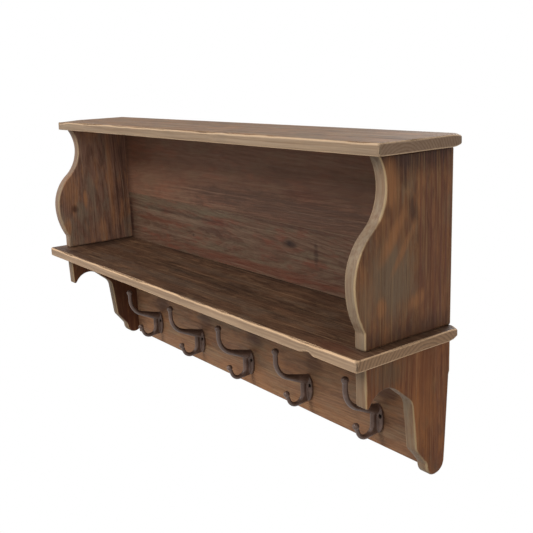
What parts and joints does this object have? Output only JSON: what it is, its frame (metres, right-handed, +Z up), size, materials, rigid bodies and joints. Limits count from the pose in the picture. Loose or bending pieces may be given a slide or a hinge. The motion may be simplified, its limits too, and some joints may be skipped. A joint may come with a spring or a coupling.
{
  "type": "wall shelf with coat hooks",
  "caption": "Rustic wooden wall shelf with scalloped sides, an upper ledge over an open display bay, and a rail of double coat hooks between shaped brackets.",
  "frame": {"origin": "on the wall plane that the back boards touch, midway between the two keyhole hangers", "axes": "+X along the shelf to the right as seen from the front, +Y into the wall, +Z up; the front faces -Y"},
  "size_m": [0.85, 0.175, 0.438],
  "materials": {
    "top_wood": "stained fir, worn and waxed, satin",
    "shelf_wood": "dark stained fir, waxed, satin",
    "side_wood": "stained fir with grey and orange streaks, satin",
    "back_wood": "dark stained fir, satin",
    "bracket_wood": "reddish stained fir, satin",
    "rail_wood": "stained fir, satin",
    "dowel_wood": "bare beech, matt",
    "hook_iron": "dark brown lacquered casting, semi-gloss",
    "screw_steel": "black oxide steel, satin"
  },
  "bodies": {
    "root": {"top_board": "top_wood", "shelf_board": "shelf_wood", "upper_side_left": "side_wood", "upper_side_right": "side_wood", "back_board_upper": "back_wood", "back_board_lower": "back_wood", "lower_bracket_left": "bracket_wood", "lower_bracket_right": "bracket_wood", "hook_rail": "rail_wood", "coat_hook_1": "hook_iron", "coat_hook_2": "hook_iron", "coat_hook_3": "hook_iron", "coat_hook_4": "hook_iron", "coat_hook_5": "hook_iron", "hook_screws": "screw_steel", "top_dowels": "dowel_wood", "shelf_dowels": "dowel_wood", "back_board_dowels": "dowel_wood", "rail_dowels": "dowel_wood"}
  },
  "joints": []
}
